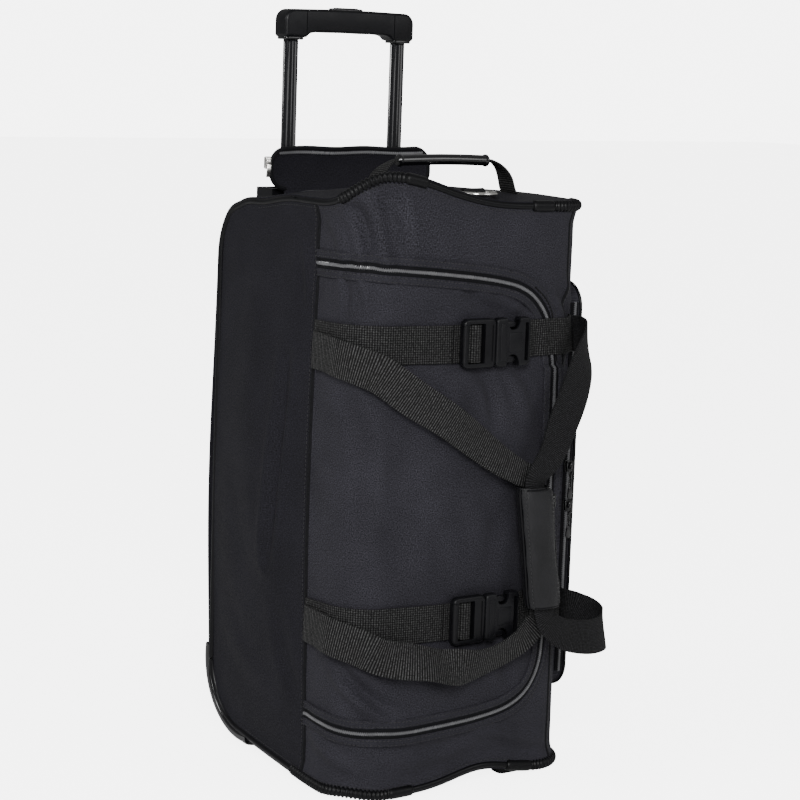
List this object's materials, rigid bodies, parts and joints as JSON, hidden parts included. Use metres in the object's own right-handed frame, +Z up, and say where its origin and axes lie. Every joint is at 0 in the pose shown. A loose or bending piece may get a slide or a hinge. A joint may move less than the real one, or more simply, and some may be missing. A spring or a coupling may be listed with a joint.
{
  "type": "rolling duffel bag",
  "caption": "Upright soft duffel bag with wheels, a telescoping trolley grip, a U-shaped zipped lid, buckled compression straps, carry handles and an outer pocket.",
  "frame": {"origin": "on the floor, under the middle of the whole object's footprint", "axes": "+Z up, -Y towards the front with the zipped lid, +Y towards the trolley, +X towards the side with the outer pocket"},
  "size_m": [0.3296, 0.3204, 0.7998],
  "materials": {
    "canvas": "woven black polyester canvas, slightly blue charcoal",
    "coil": "nylon coil zip on woven tape",
    "webbing": "ribbed black webbing, slightly warm",
    "leather": "black coated leather with stitched edges",
    "plastic": "moulded black plastic, satin",
    "gloss": "moulded black plastic, glossy",
    "tube": "black anodised tube, glossy",
    "board": "stiff board",
    "rubber": "black rubber",
    "silver": "bright nickel plate",
    "steel": "plain steel"
  },
  "bodies": {
    "root": {"back_board": "board", "back_panel": "canvas", "top_panel": "canvas", "bottom_panel": "canvas", "near_side_panel": "canvas", "front_frame": "canvas", "far_side_panel": "canvas", "piping_loop": "plastic", "guard_near_top": "plastic", "guard_far_top": "plastic", "guard_near_bottom": "plastic", "guard_far_bottom": "plastic", "zip_frame_half": "coil", "upper_strap_far": "webbing", "lower_strap_far": "webbing", "upper_buckle_female": "plastic", "lower_buckle_female": "plastic", "pocket_shell": "canvas", "pocket_zip": "coil", "outer_tube_near": "tube", "outer_tube_far": "tube", "handle_housing": "plastic", "bottom_bracket": "plastic", "wheel_housing_near": "gloss", "wheel_housing_far": "gloss", "axle_near": "steel", "axle_far": "steel", "foot_near": "rubber", "foot_far": "rubber", "d_ring_tab": "webbing"},
    "lid": {"front_lid": "canvas", "zip_lid_half": "coil", "upper_strap_near": "webbing", "lower_strap_near": "webbing"},
    "upper_buckle": {"upper_buckle_male": "plastic"},
    "lower_buckle": {"lower_buckle_male": "plastic"},
    "near_handle": {"near_handle": "webbing", "handle_wrap": "leather"},
    "far_handle": {"far_handle": "webbing"},
    "grab_handle": {"grab_handle_web": "webbing", "grab_handle_sleeve": "gloss"},
    "d_ring": {"d_ring": "silver"},
    "trolley": {"inner_tube_near": "tube", "inner_tube_far": "tube", "trolley_grip": "plastic"},
    "release": {"grip_button": "gloss", "push_rod_near": "steel", "push_rod_far": "steel"},
    "wheel_near": {"wheel_near": "rubber"},
    "wheel_far": {"wheel_far": "rubber"},
    "zip_slider_upper": {"zip_slider_upper": "silver"},
    "zip_pull_upper": {"zip_pull_upper": "silver"},
    "zip_slider_lower": {"zip_slider_lower": "silver"},
    "zip_pull_lower": {"zip_pull_lower": "silver"},
    "pocket_slider_upper": {"pocket_slider_upper": "silver"},
    "pocket_pull_upper": {"pocket_pull_upper": "silver"},
    "pocket_slider_lower": {"pocket_slider_lower": "silver"},
    "pocket_pull_lower": {"pocket_pull_lower": "silver"},
    "trolley_flap": {"trolley_flap": "canvas", "flap_slider": "silver"}
  },
  "joints": [
    {"name": "lid_open", "type": "hinge", "parent": "root", "child": "lid", "pos_m": [-0.15939, -0.03671, 0.306], "axis": [0, 0, -1], "range_deg": [0, 110]},
    {"name": "upper_buckle_release", "type": "slide", "parent": "lid", "child": "upper_buckle", "axis": [-1, 0, 0], "range_m": [0, 0.03]},
    {"name": "lower_buckle_release", "type": "slide", "parent": "lid", "child": "lower_buckle", "axis": [-1, 0, 0], "range_m": [0, 0.03]},
    {"name": "near_handle_swing", "type": "hinge", "parent": "lid", "child": "near_handle", "pos_m": [-0.16159, -0.04071, 0.306], "axis": [0, 0, -1], "range_deg": [0, 60], "deforming": ["handle_wrap"]},
    {"name": "far_handle_swing", "type": "hinge", "parent": "root", "child": "far_handle", "pos_m": [0.13821, -0.08771, 0.306], "axis": [0, 0, 1], "range_deg": [0, 45]},
    {"name": "grab_handle_tilt", "type": "hinge", "parent": "root", "child": "grab_handle", "pos_m": [-0.01039, -0.04671, 0.6075], "axis": [-1, 0, 0], "range_deg": [-15, 60], "deforming": ["grab_handle_web"]},
    {"name": "d_ring_swing", "type": "hinge", "parent": "root", "child": "d_ring", "pos_m": [0.01761, -0.06271, 0.613], "axis": [-1, 0, 0], "range_deg": [0, 90]},
    {"name": "trolley_slide", "type": "slide", "parent": "root", "child": "trolley", "axis": [0, 0, 1], "range_m": [-0.183, 0.22]},
    {"name": "grip_button_press", "type": "slide", "parent": "trolley", "child": "release", "axis": [0, 0, -1], "range_m": [0, 0.004], "stiffness_N_per_m": 800, "springref_m": -0.004},
    {"name": "wheel_near_spin", "type": "hinge", "parent": "root", "child": "wheel_near", "pos_m": [-0.12639, 0.11129, 0.032], "axis": [1, 0, 0], "continuous": true},
    {"name": "wheel_far_spin", "type": "hinge", "parent": "root", "child": "wheel_far", "pos_m": [0.10561, 0.11129, 0.032], "axis": [1, 0, 0], "continuous": true},
    {"name": "zip_slider_upper_travel", "type": "slide", "parent": "root", "child": "zip_slider_upper", "axis": [0, 0, 1], "range_m": [0, 0.12]},
    {"name": "zip_pull_upper_swing", "type": "hinge", "parent": "zip_slider_upper", "child": "zip_pull_upper", "pos_m": [0.08661, -0.12411, 0.3], "axis": [-1, 0, 0], "range_deg": [0, 60]},
    {"name": "zip_slider_lower_travel", "type": "slide", "parent": "root", "child": "zip_slider_lower", "axis": [0, 0, 1], "range_m": [-0.035, 0]},
    {"name": "zip_pull_lower_swing", "type": "hinge", "parent": "zip_slider_lower", "child": "zip_pull_lower", "pos_m": [0.08661, -0.12411, 0.262], "axis": [-1, 0, 0], "range_deg": [0, 60]},
    {"name": "pocket_slider_upper_travel", "type": "slide", "parent": "root", "child": "pocket_slider_upper", "axis": [0, 0, 1], "range_m": [0, 0.045]},
    {"name": "pocket_pull_upper_swing", "type": "hinge", "parent": "pocket_slider_upper", "child": "pocket_pull_upper", "pos_m": [0.14961, -0.07911, 0.322], "axis": [-1, 0, 0], "range_deg": [0, 60]},
    {"name": "pocket_slider_lower_travel", "type": "slide", "parent": "root", "child": "pocket_slider_lower", "axis": [0, 0, 1], "range_m": [-0.06, 0]},
    {"name": "pocket_pull_lower_swing", "type": "hinge", "parent": "pocket_slider_lower", "child": "pocket_pull_lower", "pos_m": [0.14961, -0.07911, 0.279], "axis": [-1, 0, 0], "range_deg": [0, 60]},
    {"name": "trolley_flap_fold", "type": "hinge", "parent": "root", "child": "trolley_flap", "pos_m": [-0.01439, 0.11879, 0.6086], "axis": [1, 0, 0], "range_deg": [-8, 80]}
  ]
}
